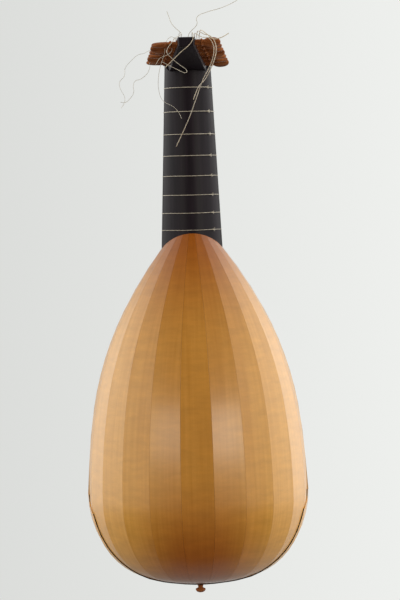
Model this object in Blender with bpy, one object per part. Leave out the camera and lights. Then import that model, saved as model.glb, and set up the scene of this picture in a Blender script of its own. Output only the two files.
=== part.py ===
"""A seven-course renaissance lute with an eleven-rib back, hung upright: +Z runs up the neck.

The origin is on the outer face of the pegbox floor, just behind the neck. The soundboard
faces -Y, and the back and the bent pegbox reach towards +Y. Depths below are measured
from the front plane of the soundboard.
"""
import math

import bmesh
import bpy
from mathutils import Vector
from mathutils.geometry import interpolate_bezier

MM = 0.001

# Driving dimensions, in metres.
STRING_LENGTH = 0.590
NECK_LENGTH = 0.242
BODY_LENGTH = 0.435
HALF_WIDTH = 0.1426
WIDEST_BELOW_JOINT = 0.318
FRONT_Y = -0.036
NUT_Z = 0.0125
JOINT_Z = NUT_Z - NECK_LENGTH
WIDEST_Z = JOINT_Z - WIDEST_BELOW_JOINT
TAIL_Z = JOINT_Z - BODY_LENGTH
BRIDGE_Z = NUT_Z - STRING_LENGTH
GAP = 0.0003

# The outline leaves the widest point as tangent arcs: radius in metres, turn in degrees.
ARCS_UP = ((0.680, 9.5), (0.420, 18.0), (0.552, 13.5))
ARCS_DOWN = ((0.126, 30.0), (0.0980, 46.0), (0.2669, 14.0))
STEPS_UP = (3, 6, 4)
STEPS_DOWN = (4, 6, 3)

RIBS = 11
RIB_THICKNESS = 0.0015
RIB_ANGLE = math.pi / RIBS
RIB_END_RADIUS = 0.006
JOINT_SLOPE = 0.77

SOUNDBOARD_THICKNESS = 0.0016
RIM_DEPTH = SOUNDBOARD_THICKNESS + GAP
ROSE_Z = JOINT_Z - 0.163
ROSE_RADIUS = 0.043
ROSE_PITCH = 0.0155
BAR_PLACES = (0.060, 0.105, 0.222, 0.262, 0.302)

NECK_HALF_AT_NUT = 0.0300
NECK_HALF_AT_JOINT = 0.0399
NECK_DEPTH_AT_NUT = 0.0220
NECK_DEPTH_AT_JOINT = 0.0247
FINGERBOARD_THICKNESS = 0.0020
FINGERBOARD_TOP_Z = 0.0102
SHOULDER_Z = 0.0090
SHOULDER_DEPTH = 0.0120

PEGBOX_LENGTH = 0.205
PEGBOX_HALF_AT_NUT = 0.0243
PEGBOX_HALF_AT_TIP = 0.0092
OPEN_HALF_AT_NUT = 0.0275
OPEN_HALF_AT_TIP = 0.0098
CHEEK_TOP_AT_NUT = 0.0170
CHEEK_TOP_AT_TIP = 0.0115
CHEEK_THICKNESS = 0.0036
FLOOR_THICKNESS = 0.0020
LEDGE_FRONT_Z = 0.0144
LEDGE_BACK_Z = 0.0126
END_BLOCK_LENGTH = 0.0060

PEGS = 13
PEG_FIRST = 0.0270
PEG_PITCH = 0.0136
PEG_Z_FIRST = 0.0078
PEG_Z_LAST = 0.0070
PEG_RADIUS = 0.0036
PEG_TAPER = 1 / 56
PEG_SIDES = 10
PEG_CLEARANCE = 0.0004
# The heads stand within this of level, in degrees, and the next is this many radians on.
PEG_TURN = 24.0
PEG_TURN_STEP = 2.1

FRETS = 8
NUT_PROUD = 0.0012
COURSE_GAP = 0.0042
PAIR_GAP = 0.0033
BRIDGE_PAIR_GAP = 0.0052
BRIDGE_COURSE_GAP = 0.0092
BRIDGE_STRING_HEIGHT = 0.0050
# String diameters from the lowest bass to the single treble, in millimetres.
STRING_MM = (1.10, 1.00, 1.00, 0.90, 0.85, 0.80, 0.65, 0.65, 0.60, 0.60, 0.50, 0.50, 0.45)
# Where each string meets its peg, counted from the nut, in millimetres across.
PEG_STRING_X_MM = (-14.7, 15.6, -12.8, 13.2, -10.8, 11.0, -8.8, 8.6, -6.5, 6.2, -3.5, 3.5, 0.0)
TURNS = 1.75
POINTS_PER_TURN = 10
# A curve's handles reach this share of the way to the next place.
HANDLE_SHARE = 0.39
# A free end has one stretch for each such bend, in degrees.
BEND_PER_STRETCH = 25.0

# Free string ends, by peg counted from the nut: places across, behind and up, in millimetres.
TAILS_MM = {
    12: ((-3.0, 186.0, 17.0), (-6.0, 188.0, 21.0), (-11.0, 192.0, 25.0), (-13.5, 195.5, 29.0),
         (-12.7, 196.0, 33.6), (-15.0, 195.0, 37.5), (-24.3, 190.0, 42.4), (-40.5, 180.0, 48.6),
         (-54.2, 170.0, 55.7), (-62.3, 165.0, 60.8)),
    11: ((6.4, 173.0, 15.0), (5.6, 180.0, 17.5), (5.8, 186.0, 19.0), (8.5, 189.0, 21.5),
         (12.2, 190.0, 24.6), (17.0, 190.0, 30.6), (19.7, 190.0, 38.1), (22.0, 190.0, 44.7)),
    10: ((-7.0, 161.0, 17.5), (-7.0, 170.0, 19.5), (-7.2, 190.0, 19.0), (-7.5, 200.0, 17.0),
         (-8.5, 206.5, 12.5), (-6.8, 209.0, 5.5), (7.5, 210.0, -8.0), (25.1, 211.0, -24.8)),
    9: ((9.2, 147.0, 17.5), (9.0, 155.0, 19.5), (8.4, 180.0, 19.0), (7.0, 198.0, 17.5),
        (5.6, 206.0, 14.3), (12.3, 212.0, 9.2), (17.2, 214.0, 3.1), (22.2, 214.5, -3.9),
        (22.9, 214.0, -8.0), (18.8, 213.5, -13.1), (9.0, 213.0, -21.9), (0.0, 212.5, -29.8),
        (0.4, 212.0, -31.4), (10.9, 209.0, -27.5), (17.9, 207.5, -23.5), (28.9, 207.0, -17.7)),
    8: ((-10.4, 134.0, 17.0), (-10.4, 142.0, 18.6), (-10.4, 185.0, 18.4), (-11.5, 199.0, 16.0),
        (-19.0, 206.5, 10.4), (-26.3, 210.0, 8.6), (-31.3, 212.0, 1.0), (-32.2, 212.0, -7.3),
        (-29.8, 208.0, -17.4), (-25.1, 200.0, -26.9), (-20.3, 186.0, -33.5), (-10.0, 138.0, -53.0),
        (0.3, 90.0, -72.9), (16.4, 60.0, -102.3)),
    7: ((11.9, 122.0, 17.5), (11.9, 130.0, 19.6), (12.2, 150.0, 19.6), (15.0, 160.0, 17.0),
        (17.2, 163.0, 9.0), (18.0, 164.0, 1.5), (25.7, 165.5, -4.0), (31.8, 166.0, -6.5),
        (37.5, 167.0, -15.1)),
    6: ((-13.3, 106.5, 17.5), (-13.3, 115.0, 19.8), (-13.3, 185.0, 19.8), (-15.0, 200.0, 18.6),
        (-21.5, 210.5, 13.0), (-28.6, 214.5, 9.8), (-34.0, 215.5, 1.6), (-34.8, 215.5, -7.6),
        (-32.0, 211.5, -18.6), (-27.2, 203.5, -28.6), (-22.0, 191.0, -36.0), (-12.7, 163.0, -42.9),
        (-6.8, 150.0, -55.0)),
    5: ((14.3, 95.0, 17.5), (14.3, 103.0, 20.6), (14.6, 148.0, 20.6), (20.0, 159.0, 19.0),
        (25.0, 161.5, 12.0), (26.6, 161.5, 0.0), (30.2, 159.0, -10.0), (32.5, 150.0, -15.0),
        (36.0, 120.0, -28.3), (36.1, 100.0, -35.6), (33.7, 80.0, -43.2), (29.0, 65.0, -47.0),
        (18.9, 50.0, -51.0), (12.7, 45.0, -57.3), (9.1, 42.0, -64.9)),
    4: ((-16.0, 79.5, 17.5), (-16.0, 88.0, 20.4), (-16.4, 180.0, 20.4), (-18.5, 203.0, 19.0),
        (-25.0, 214.0, 12.0), (-32.0, 219.0, 6.0), (-40.2, 219.0, 7.0), (-50.0, 216.0, 12.5)),
    3: ((16.6, 64.3, 17.5), (19.5, 62.5, 20.3), (30.0, 58.0, 21.0), (42.0, 54.5, 17.5),
        (47.0, 54.2, 8.0), (49.0, 54.2, -4.2), (59.5, 58.0, -15.5), (66.6, 60.0, -18.2),
        (69.2, 62.0, -25.6), (68.7, 62.0, -32.1), (74.2, 62.0, -41.1), (80.7, 62.0, -45.5),
        (85.9, 62.0, -44.6)),
    1: ((19.0, 36.9, 17.5), (21.0, 36.9, 21.0), (30.0, 38.0, 23.0), (41.0, 40.0, 23.5),
        (46.1, 40.0, 23.9), (55.2, 42.0, 19.7), (63.0, 45.0, 17.2), (70.9, 48.0, 10.2),
        (79.5, 50.0, -0.3), (80.3, 52.0, -9.6), (86.9, 55.0, -19.1), (85.8, 56.0, -27.0),
        (80.8, 56.0, -37.6), (81.0, 55.0, -43.8), (85.2, 54.0, -51.4)),
}


def at(x, depth, z):
    """A point from its place across, its depth behind the front plane, and its height."""
    return Vector((x, FRONT_Y + depth, z))


def mix(a, b, share):
    return a + (b - a) * share


def material(name, colour, roughness):
    made = bpy.data.materials.new(name)
    made.use_nodes = True
    shader = made.node_tree.nodes["Principled BSDF"]
    shader.inputs["Base Color"].default_value = (*colour, 1.0)
    shader.inputs["Roughness"].default_value = roughness
    shader.inputs["Metallic"].default_value = 0.0
    return made


def node(name, mesh, finish, smooth_degrees=30.0):
    """A named object whose faces point out."""
    work = bmesh.new()
    work.from_mesh(mesh)
    bmesh.ops.recalc_face_normals(work, faces=work.faces)
    work.to_mesh(mesh)
    work.free()
    mesh.shade_smooth()
    mesh.set_sharp_from_angle(angle=math.radians(smooth_degrees))
    made = bpy.data.objects.new(name, mesh)
    made.data.materials.append(finish)
    bpy.context.scene.collection.objects.link(made)
    return made


def banded_cap(first, count):
    """A cap of bands that run straight across, for an end that bends from front to back."""
    last = first + count - 1
    bands = []
    for i in range(count // 2):
        band = (first + i, first + i + 1, last - i - 1, last - i)
        bands.append(tuple(dict.fromkeys(band)))
    return [band for band in bands if len(band) > 2]


def loft(name, rings, banded=False):
    """A closed mesh through rings of equally many points, with a cap on each end."""
    count = len(rings[0])
    points = [point for ring in rings for point in ring]
    faces = []
    for row in range(len(rings) - 1):
        low = row * count
        for i in range(count):
            j = (i + 1) % count
            faces.append((low + i, low + j, low + count + j, low + count + i))
    if banded:
        faces += banded_cap(0, count) + banded_cap(len(points) - count, count)
    else:
        faces.append(tuple(range(count))[::-1])
        faces.append(tuple(range(len(points) - count, len(points))))
    mesh = bpy.data.meshes.new(name)
    mesh.from_pydata(points, [], faces)
    return mesh


def joined(name, meshes):
    """One mesh that holds several closed bodies."""
    work = bmesh.new()
    for mesh in meshes:
        work.from_mesh(mesh)
    bmesh.ops.recalc_face_normals(work, faces=work.faces)
    mesh = bpy.data.meshes.new(name)
    work.to_mesh(mesh)
    work.free()
    return mesh


def cut(target, tool, operation="DIFFERENCE"):
    """Adds a Boolean with a hidden helper."""
    tool.hide_render = True
    tool.display_type = "WIRE"
    modifier = target.modifiers.new(tool.name, "BOOLEAN")
    modifier.operation = operation
    modifier.solver = "EXACT"
    modifier.object = tool


def cylinder_rings(start, end, start_radius, end_radius, sides):
    """Two rings of a round stick between two points."""
    along = (end - start).normalized()
    side = along.orthogonal().normalized()
    up = along.cross(side)
    rings = []
    for centre, radius in ((start, start_radius), (end, end_radius)):
        ring = []
        for i in range(sides):
            angle = 2 * math.pi * i / sides
            ring.append(centre + radius * (math.cos(angle) * side + math.sin(angle) * up))
        rings.append(ring)
    return rings


def outline_arcs():
    """Each arc of the outline as its centre, radius, turn limits and direction."""
    arcs = []
    for rows, direction in ((ARCS_UP, 1), (ARCS_DOWN, -1)):
        width, height, turned = HALF_WIDTH, WIDEST_Z, 0.0
        for radius, turn in rows:
            end = turned + math.radians(turn)
            centre = (width - radius * math.cos(turned), height - direction * radius * math.sin(turned))
            arcs.append((centre, radius, turned, end, direction))
            width = centre[0] + radius * math.cos(end)
            height = centre[1] + direction * radius * math.sin(end)
            turned = end
    return arcs


ARCS = outline_arcs()


def radius_at(z):
    """The outline's half-width at a height."""
    direction = 1 if z >= WIDEST_Z else -1
    for centre, radius, _, end, way in ARCS:
        far = centre[1] + way * radius * math.sin(end)
        if way == direction and (far - z) * way >= -GAP:
            return centre[0] + math.sqrt(max(radius**2 - (z - centre[1]) ** 2, 0.0))
    return 0.0


def stations(top_z):
    """(half-width, height, turn) down the outline from just below top_z to the tail."""
    found = []
    for index, (centre, radius, start, end, way) in enumerate(ARCS):
        steps = (STEPS_UP + STEPS_DOWN)[index]
        for step in range(steps):
            turn = mix(start, end, (step + 1) / steps)
            place = centre[1] + way * radius * math.sin(turn)
            found.append((centre[0] + radius * math.cos(turn), place, way * turn))
    found.append((HALF_WIDTH, WIDEST_Z, 0.0))
    found.sort(key=lambda row: -row[1])
    return [row for row in found if row[1] < top_z]


def offset(station, distance):
    """A station moved along the outline's normal, outwards where distance is positive."""
    width, z, turn = station
    return width + distance * math.cos(turn), z + distance * math.sin(turn)


def rim(radius, edge):
    """Across and depth of one of the ribs' edges. The outermost edges stop under the soundboard."""
    if edge in (0, RIBS):
        side = 1 if edge == 0 else -1
        return side * (radius - RIM_DEPTH * math.tan(RIB_ANGLE / 2)), RIM_DEPTH
    angle = edge * RIB_ANGLE
    return radius * math.cos(angle), radius * math.sin(angle)


def joint_height(depth):
    """The neck joint's plane slants up towards the back, from under the fingerboard."""
    return JOINT_Z + JOINT_SLOPE * max(depth - FINGERBOARD_THICKNESS - GAP, 0.0)


def joint_point(edge, inset, drop):
    """Where an edge of the back meets the neck joint."""
    z = JOINT_Z
    for _ in range(60):
        x, depth = rim(radius_at(z) - inset, edge)
        z = mix(z, joint_height(depth) - drop, 0.5)
    return x, depth, z


def rib_mesh(index):
    rings = []
    corners = ((index, 1), (index + 1, -1))

    def ring_of(outer, inner):
        ring = [at(*outer[0]), at(*outer[1]), at(*inner[1]), at(*inner[0])]
        for place, (edge, side) in zip((0, 1, 2, 3), (corners[0], corners[1], corners[1], corners[0])):
            if edge not in (0, RIBS):
                angle = edge * RIB_ANGLE
                ring[place] += side * GAP / 2 * Vector((-math.sin(angle), math.cos(angle), 0))
        return ring

    top_inset = RIB_THICKNESS / math.cos(math.radians(38.7))
    rings.append(ring_of([joint_point(edge, 0, GAP) for edge, _ in corners],
                         [joint_point(edge, top_inset, GAP) for edge, _ in corners]))
    for station in stations(JOINT_Z - 0.004):
        if station[0] < RIB_END_RADIUS:
            continue
        outer = [(*rim(station[0], edge), station[1]) for edge, _ in corners]
        width, z = offset(station, -RIB_THICKNESS)
        inner = [(*rim(width, edge), z) for edge, _ in corners]
        rings.append(ring_of(outer, inner))
    return loft(f"rib_{index + 1}", rings)


def shell_mesh(name, top_z, near, far):
    """The faceted back below top_z as a shell between two offsets from the ribs' outer faces."""
    rows = [row for row in stations(top_z) if row[0] > 0.001]
    columns = RIBS + 1
    points = []
    for distance in (near, far):
        for row in rows:
            width, z = offset(row, distance)
            points += [at(*rim(width, edge), z) for edge in range(columns)]
    block = len(rows) * columns
    pole = len(points)
    points += [at(0, RIM_DEPTH, TAIL_Z - near), at(0, RIM_DEPTH, TAIL_Z - far)]
    faces = []
    for side in (0, 1):
        base = side * block
        for row in range(len(rows) - 1):
            for edge in range(RIBS):
                a = base + row * columns + edge
                faces.append((a, a + 1, a + columns + 1, a + columns))
        last = base + (len(rows) - 1) * columns
        for edge in range(RIBS):
            faces.append((last + edge, last + edge + 1, pole + side))
    for edge in range(RIBS):
        faces.append((edge, edge + 1, block + edge + 1, block + edge))
    for edge in (0, RIBS):
        for row in range(len(rows) - 1):
            a = row * columns + edge
            faces.append((a, a + columns, block + a + columns, block + a))
        last = (len(rows) - 1) * columns + edge
        faces.append((last, pole, pole + 1, block + last))
    mesh = bpy.data.meshes.new(name)
    mesh.from_pydata(points, [], faces)
    return mesh


def prism(name, profile, half):
    """A profile of (depth, height) pairs drawn out to both sides."""
    return loft(name, [[at(side * half, depth, z) for depth, z in profile] for side in (-1, 1)])


def build_bowl(ribwood, cap_finish, spruce):
    for index in range(RIBS):
        node(f"rib_{index + 1:02d}", rib_mesh(index), ribwood)

    strip = node("cap_strip", shell_mesh("cap_strip", JOINT_Z - 0.300, GAP, GAP + 0.0012), cap_finish)
    tongue_top = JOINT_Z - 0.307
    step_z = JOINT_Z - 0.333
    low = TAIL_Z - 0.020
    profile = [(-0.010, tongue_top), (0.010, tongue_top), (0.012, tongue_top - 0.003),
               (0.012, step_z + 0.006), (0.016, step_z + 0.001), (0.034, step_z - 0.002),
               (0.042, step_z - 0.006), (0.044, step_z - 0.016), (0.044, low), (-0.010, low)]
    window = node("cap_window", prism("cap_window", profile, 0.2), cap_finish)
    cut(strip, window, "INTERSECT")

    block_depth = 0.0460
    inset = RIB_THICKNESS + GAP
    edges = range(RIBS + 1)
    rows = [[at(*joint_point(edge, inset / math.cos(math.radians(38.7)), 2 * GAP)) for edge in edges]]
    for row in stations(JOINT_Z - 0.004):
        if row[1] > JOINT_Z - block_depth:
            width, z = offset(row, -inset)
            rows.append([at(*rim(width, edge), z) for edge in edges])
    node("neck_block", loft("neck_block", rows), spruce)

    lining = node("end_lining", shell_mesh("end_lining", WIDEST_Z - 0.040, -inset, -inset - 0.003), spruce)
    low_window = node("lining_window", prism("lining_window", [
        (-0.010, WIDEST_Z), (0.018, WIDEST_Z), (0.018, low), (-0.010, low)], 0.2), spruce)
    cut(lining, low_window, "INTERSECT")


def soundboard_edge(row):
    """The soundboard follows the ribs, and widens over the cap strip lower down."""
    share = (JOINT_Z - 0.285 - row[1]) / 0.022
    return offset(row, 0.0014 * min(max(share, 0.0), 1.0))


def polygon_prism(centre_x, centre_z, radius, sides, turn, low, high):
    rings = []
    for depth in (low, high):
        ring = []
        for i in range(sides):
            angle = turn + 2 * math.pi * i / sides
            ring.append(at(centre_x + radius * math.cos(angle), depth, centre_z + radius * math.sin(angle)))
        rings.append(ring)
    return loft("hole", rings)


def rose_holes():
    """Hexagons and triangles left open between three families of straight bands."""
    holes = []
    reach = 4
    for a in range(-reach, reach + 1):
        for b in range(-reach, reach + 1):
            x = ROSE_PITCH * (a + b / 2)
            z = ROSE_PITCH * b * math.sqrt(3) / 2
            if math.hypot(x, z) < ROSE_RADIUS - 0.006:
                holes.append((x, z, ROSE_PITCH * 0.36, 6, 0.0))
            for side in (1, -1):
                tip_x = x + ROSE_PITCH / 2
                tip_z = z + side * ROSE_PITCH / (2 * math.sqrt(3))
                if math.hypot(tip_x, tip_z) < ROSE_RADIUS - 0.004:
                    holes.append((tip_x, tip_z, ROSE_PITCH * 0.17, 3, side * math.pi / 2))
    return [polygon_prism(x, ROSE_Z + z, radius, sides, turn, -0.01, 0.01)
            for x, z, radius, sides, turn in holes]


def build_soundboard(spruce):
    rows = stations(JOINT_Z - 0.004)
    right = [(radius_at(JOINT_Z - GAP), JOINT_Z - GAP)]
    right += [soundboard_edge(row) for row in rows if row[0] > 0.001]
    left = [(-x, z) for x, z in reversed(right)]
    bottom = [(0.0, soundboard_edge(rows[-1])[1])]
    edge = right + bottom + left
    plate = loft("soundboard", [[at(x, depth, z) for x, z in edge] for depth in (0, SOUNDBOARD_THICKNESS)])
    board = node("soundboard", plate, spruce)

    bars = []
    for below in BAR_PLACES:
        z = JOINT_Z - below
        half = radius_at(z) - 0.007
        deep = 0.0140
        section = [(-half, 0.0010), (half, 0.0010), (half, 0.0040), (half - 0.014, deep),
                   (-half + 0.014, deep), (-half, 0.0040)]
        bars.append(loft("bar", [[at(x, depth, z + side * 0.0022) for x, depth in section]
                                 for side in (-1, 1)]))
    cut(board, node("bars", joined("bars", bars), spruce), "UNION")
    cut(board, node("rose_cutters", joined("rose_cutters", rose_holes()), spruce))


def string_places(pair, course):
    """Places across from the lowest bass to the treble, centred on the soundboard."""
    places = [0.0]
    for index in range(1, PEGS):
        places.append(places[-1] + (pair if index % 2 else course))
    middle = places[-1] / 2
    return [place - middle for place in places]


def build_bridge(pearwood):
    base = -GAP
    rows = ((-0.068, 0.0012, 0.0020), (-0.062, 0.0026, 0.0040), (-0.056, 0.0070, 0.0056),
            (0.056, 0.0066, 0.0056), (0.062, 0.0026, 0.0040), (0.068, 0.0012, 0.0020))
    rings = []
    for x, height, half in rows:
        rings.append([at(x, base, BRIDGE_Z - 0.0055 - half), at(x, base, BRIDGE_Z - 0.0055 + half),
                      at(x, base - height, BRIDGE_Z - 0.0055 + half * 0.8),
                      at(x, base - height, BRIDGE_Z - 0.0055 - half * 0.6)])
    bridge = node("bridge", loft("bridge", rings), pearwood)
    drills = []
    for x in string_places(BRIDGE_PAIR_GAP, BRIDGE_COURSE_GAP):
        drills.append(loft("drill", cylinder_rings(
            at(x, -BRIDGE_STRING_HEIGHT, BRIDGE_Z - 0.03), at(x, -BRIDGE_STRING_HEIGHT, BRIDGE_Z + 0.02),
            0.0011, 0.0011, 6)))
    cut(bridge, node("bridge_drills", joined("bridge_drills", drills), pearwood))


def neck_share(z):
    return (NUT_Z - z) / NECK_LENGTH


def neck_section(z):
    """Half-width and eccentricity of the neck's round back at a height."""
    half = mix(NECK_HALF_AT_NUT, NECK_HALF_AT_JOINT, neck_share(z))
    depth = mix(NECK_DEPTH_AT_NUT, NECK_DEPTH_AT_JOINT, neck_share(z))
    return half, half / depth - 1


def neck_point(z, angle):
    """Across and depth of the neck's surface, with angle measured from straight back."""
    half, shape = neck_section(z)
    radius = half / (1 + shape * math.cos(angle))
    return radius * math.sin(angle), radius * math.cos(angle)


def flat_angle(z, depth):
    """The angle at which the neck's surface is this deep."""
    half, shape = neck_section(z)
    return math.acos(depth / (half - shape * depth))


def shoulder(depth):
    """Height of the neck's top end, which slopes down from the front to the pegbox floor."""
    return SHOULDER_Z * max(1 - depth / SHOULDER_DEPTH, 0.0)


NECK_LINE_DEPTHS = (FINGERBOARD_THICKNESS + GAP, 0.0045, 0.0070, 0.0095, SHOULDER_DEPTH)


def neck_angle(z, line):
    """The angle of one of the neck's long lines: set depths at the sides, then even turns."""
    side = 1 if line >= 0 else -1
    back = len(NECK_LINE_DEPTHS) - 1
    if abs(line) < back:
        return flat_angle(z, NECK_LINE_DEPTHS[-1]) * line / back
    return side * flat_angle(z, NECK_LINE_DEPTHS[2 * back - abs(line)])


def build_neck(ebony):
    rows = 9
    reach = 2 * (len(NECK_LINE_DEPTHS) - 1)
    rings = [[] for _ in range(rows)]
    for line in range(-reach, reach + 1):
        low = JOINT_Z
        high = SHOULDER_Z
        for _ in range(60):
            low = joint_height(neck_point(low, neck_angle(low, line))[1])
            high = shoulder(neck_point(high, neck_angle(high, line))[1])
        for row in range(rows):
            z = mix(low, high, row / (rows - 1))
            rings[row].append(at(*neck_point(z, neck_angle(z, line)), z))
    node("neck", loft("neck", rings, banded=True), ebony)

    rings = []
    for z in (JOINT_Z + GAP, FINGERBOARD_TOP_Z):
        half = neck_section(z)[0]
        inner = neck_point(z, flat_angle(z, FINGERBOARD_THICKNESS))[0]
        rings.append([at(-half, 0, z), at(half, 0, z), at(inner, FINGERBOARD_THICKNESS, z),
                      at(-inner, FINGERBOARD_THICKNESS, z)])
    node("fingerboard", loft("fingerboard", rings), ebony)


def build_nut(bone):
    low, high = FINGERBOARD_TOP_Z + GAP, 0.0150
    front = -NUT_PROUD
    profile = [(FINGERBOARD_THICKNESS, low), (FINGERBOARD_THICKNESS, high), (front + 0.0012, high),
               (front + 0.0003, high - 0.0009), (front, high - 0.0022), (front, low)]
    node("nut", prism("nut", profile, 0.0275), bone)


def fret_z(number):
    return NUT_Z - STRING_LENGTH * (1 - 2 ** (-number / 12))


def build_fret(number, gut):
    """A gut loop tied round the neck and fingerboard, with its knot at the back."""
    z = fret_z(number)
    radius = mix(0.00045, 0.00033, (number - 1) / (FRETS - 1))
    lift = radius + GAP
    path = []
    back_points = 15
    limit = flat_angle(z, 0.0005)
    for i in range(back_points):
        angle = mix(-limit, limit, i / (back_points - 1))
        x, depth = neck_point(z, angle)
        ahead = neck_point(z, angle + 0.01)
        tangent = Vector((ahead[0] - x, ahead[1] - depth, 0)).normalized()
        outward = Vector((-tangent.y, tangent.x, 0))
        knot = 2.0 if i == 2 else 1.0
        path.append((Vector((x, depth, z)) + outward * (lift * knot), outward, radius * knot))
    half = neck_section(z)[0]
    front = Vector((0, -1, 0))
    path.append((Vector((half + lift * 0.7, -lift * 0.7, z)), Vector((0.7, -0.7, 0)), radius))
    for share in (0.8, 0.0, -0.8):
        path.append((Vector((half * share, -lift, z)), front, radius))
    path.append((Vector((-half - lift * 0.7, -lift * 0.7, z)), Vector((-0.7, -0.7, 0)), radius))

    sides = 5
    points = []
    for centre, outward, thick in path:
        for i in range(sides):
            angle = 2 * math.pi * i / sides
            place = centre + thick * (math.cos(angle) * outward + math.sin(angle) * Vector((0, 0, 1)))
            points.append(at(*place))
    faces = []
    for row in range(len(path)):
        low = row * sides
        high = (row + 1) % len(path) * sides
        for i in range(sides):
            j = (i + 1) % sides
            faces.append((low + i, low + j, high + j, high + i))
    mesh = bpy.data.meshes.new(f"fret_{number}")
    mesh.from_pydata(points, [], faces)
    node(f"fret_{number}", mesh, gut)


def pegbox_half(depth, z):
    """Outer half-width of the pegbox, which leans out towards its open side."""
    along = depth / PEGBOX_LENGTH
    floor_half = mix(PEGBOX_HALF_AT_NUT, PEGBOX_HALF_AT_TIP, along)
    open_half = mix(OPEN_HALF_AT_NUT, OPEN_HALF_AT_TIP, along)
    return mix(floor_half, open_half, z / CHEEK_TOP_AT_NUT)


def cheek_top(depth):
    return mix(CHEEK_TOP_AT_NUT, CHEEK_TOP_AT_TIP, depth / PEGBOX_LENGTH)


def peg_axis(index):
    """Depth and height of a peg's axis, counted from the nut."""
    return PEG_FIRST + PEG_PITCH * index, mix(PEG_Z_FIRST, PEG_Z_LAST, index / (PEGS - 1))


def peg_side(index):
    """The side of a peg's head: the bass side first, then in turn."""
    return -1 if index % 2 == 0 else 1


def build_pegbox(ebony):
    start = SHOULDER_DEPTH + GAP
    block_start = PEGBOX_LENGTH - END_BLOCK_LENGTH
    plate_end = block_start - GAP
    under = FINGERBOARD_THICKNESS + GAP

    seat_end = neck_point(0.0, 0.0)[1] + GAP
    floor_profile = [(under, shoulder(under) + GAP), (SHOULDER_DEPTH, GAP), (seat_end, GAP),
                     (seat_end, 0.0), (plate_end, 0.0),
                     (plate_end, FLOOR_THICKNESS), (0.0145, FLOOR_THICKNESS), (0.0130, 0.0034),
                     (SHOULDER_DEPTH, 0.0060), (SHOULDER_DEPTH - 0.0015, LEDGE_BACK_Z), (under, LEDGE_FRONT_Z)]
    rings = [[at(side * pegbox_half(depth, z), depth, z) for depth, z in floor_profile]
             for side in (-1, 1)]
    node("pegbox_floor", loft("pegbox_floor", rings), ebony)

    drills = []
    for index in range(PEGS):
        depth, z = peg_axis(index)
        side = peg_side(index)
        near = pegbox_half(depth, z)
        reach = 0.010
        grow = PEG_RADIUS + PEG_CLEARANCE
        drills.append(loft("drill", cylinder_rings(
            at(side * (near + reach), depth, z), at(-side * (near + reach), depth, z),
            grow + reach * PEG_TAPER, grow - (2 * near + reach) * PEG_TAPER, PEG_SIDES + 2)))
    reamer = node("peg_reamers", joined("peg_reamers", drills), ebony)

    base = FLOOR_THICKNESS + GAP
    for name, side in (("pegbox_cheek_bass", -1), ("pegbox_cheek_treble", 1)):
        profile = [(start, base + 0.0035), (start + 0.0025, base), (plate_end, base),
                   (plate_end, cheek_top(plate_end)), (0.020, cheek_top(0.020)),
                   (0.0155, 0.0160), (start, 0.0142)]
        rings = []
        for inward in (0.0, CHEEK_THICKNESS):
            rings.append([at(side * (pegbox_half(depth, z) - inward), depth, z) for depth, z in profile])
        cheek = node(name, loft(name, rings), ebony)
        cut(cheek, reamer)

    rings = []
    top = cheek_top(PEGBOX_LENGTH)
    for depth, drop in ((block_start, 0.0), (PEGBOX_LENGTH - 0.0012, 0.0), (PEGBOX_LENGTH, 0.0010)):
        low, high = drop, top - drop
        rings.append([at(-pegbox_half(depth, low) + drop, depth, low),
                      at(pegbox_half(depth, low) - drop, depth, low),
                      at(pegbox_half(depth, high) - drop, depth, high),
                      at(-pegbox_half(depth, high) + drop, depth, high)])
    node("pegbox_end_block", loft("pegbox_end_block", rings), ebony)


def peg_mesh(index, half):
    """A tapered shaft, a collar and a flat oval head. s runs out from the near cheek."""
    side = peg_side(index)
    turn = math.radians(PEG_TURN) * math.cos(PEG_TURN_STEP * (PEGS - 1 - index))
    far = -(2 * half + 0.0015)
    shape = [(far, PEG_RADIUS + far * PEG_TAPER, PEG_RADIUS + far * PEG_TAPER),
             (0.0060, 0.0037, 0.0037), (0.0068, 0.0047, 0.0047), (0.0082, 0.0047, 0.0047),
             (0.0092, 0.0036, 0.0036), (0.0112, 0.0046, 0.0036), (0.0140, 0.0074, 0.0037),
             (0.0185, 0.0090, 0.0036), (0.0235, 0.0088, 0.0033), (0.0275, 0.0068, 0.0027),
             (0.0300, 0.0030, 0.0014)]
    rings = []
    for along, wide, thick in shape:
        ring = []
        for i in range(PEG_SIDES):
            angle = 2 * math.pi * i / PEG_SIDES
            a, b = wide * math.cos(angle), thick * math.sin(angle)
            ring.append(Vector((side * (half + along),
                                a * math.cos(turn) - b * math.sin(turn),
                                a * math.sin(turn) + b * math.cos(turn))))
        rings.append(ring)
    return loft(f"peg_{index + 1}", rings)


def build_pegs(pegwood):
    for index in range(PEGS):
        depth, z = peg_axis(index)
        peg = node(f"peg_{index + 1:02d}", peg_mesh(index, pegbox_half(depth, z)), pegwood, 40.0)
        peg.location = at(0, depth, z)


def string_of_peg(index):
    """Outer strings go to the pegs nearest the nut, and the middle ones to the tip."""
    return index // 2 if index % 2 == 0 else PEGS - 1 - index // 2


def smooth(places):
    """Points read from a smooth curve through the places after the first, which sets its start."""
    steps = [(after - before).normalized() for before, after in zip(places, places[1:])]
    ways = [(before + after).normalized() for before, after in zip(steps, steps[1:])] + [steps[-1]]
    points = []
    for start, end, leave, arrive in zip(places[1:], places[2:], ways, ways[1:]):
        reach = (end - start).length * HANDLE_SHARE
        bend = math.degrees(leave.angle(end - start) + arrive.angle(end - start))
        count = max(1, round(bend / BEND_PER_STRETCH))
        points += interpolate_bezier(start, start + leave * reach, end - arrive * reach, end, count + 1)[1:]
    return points


def least_gap(points, radius, apart):
    """The least gap of a tube to itself, between points at least this many places apart."""
    spans = [(far - near).length for i, near in enumerate(points) for far in points[i + apart:]]
    return min(spans) - 2 * radius


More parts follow.
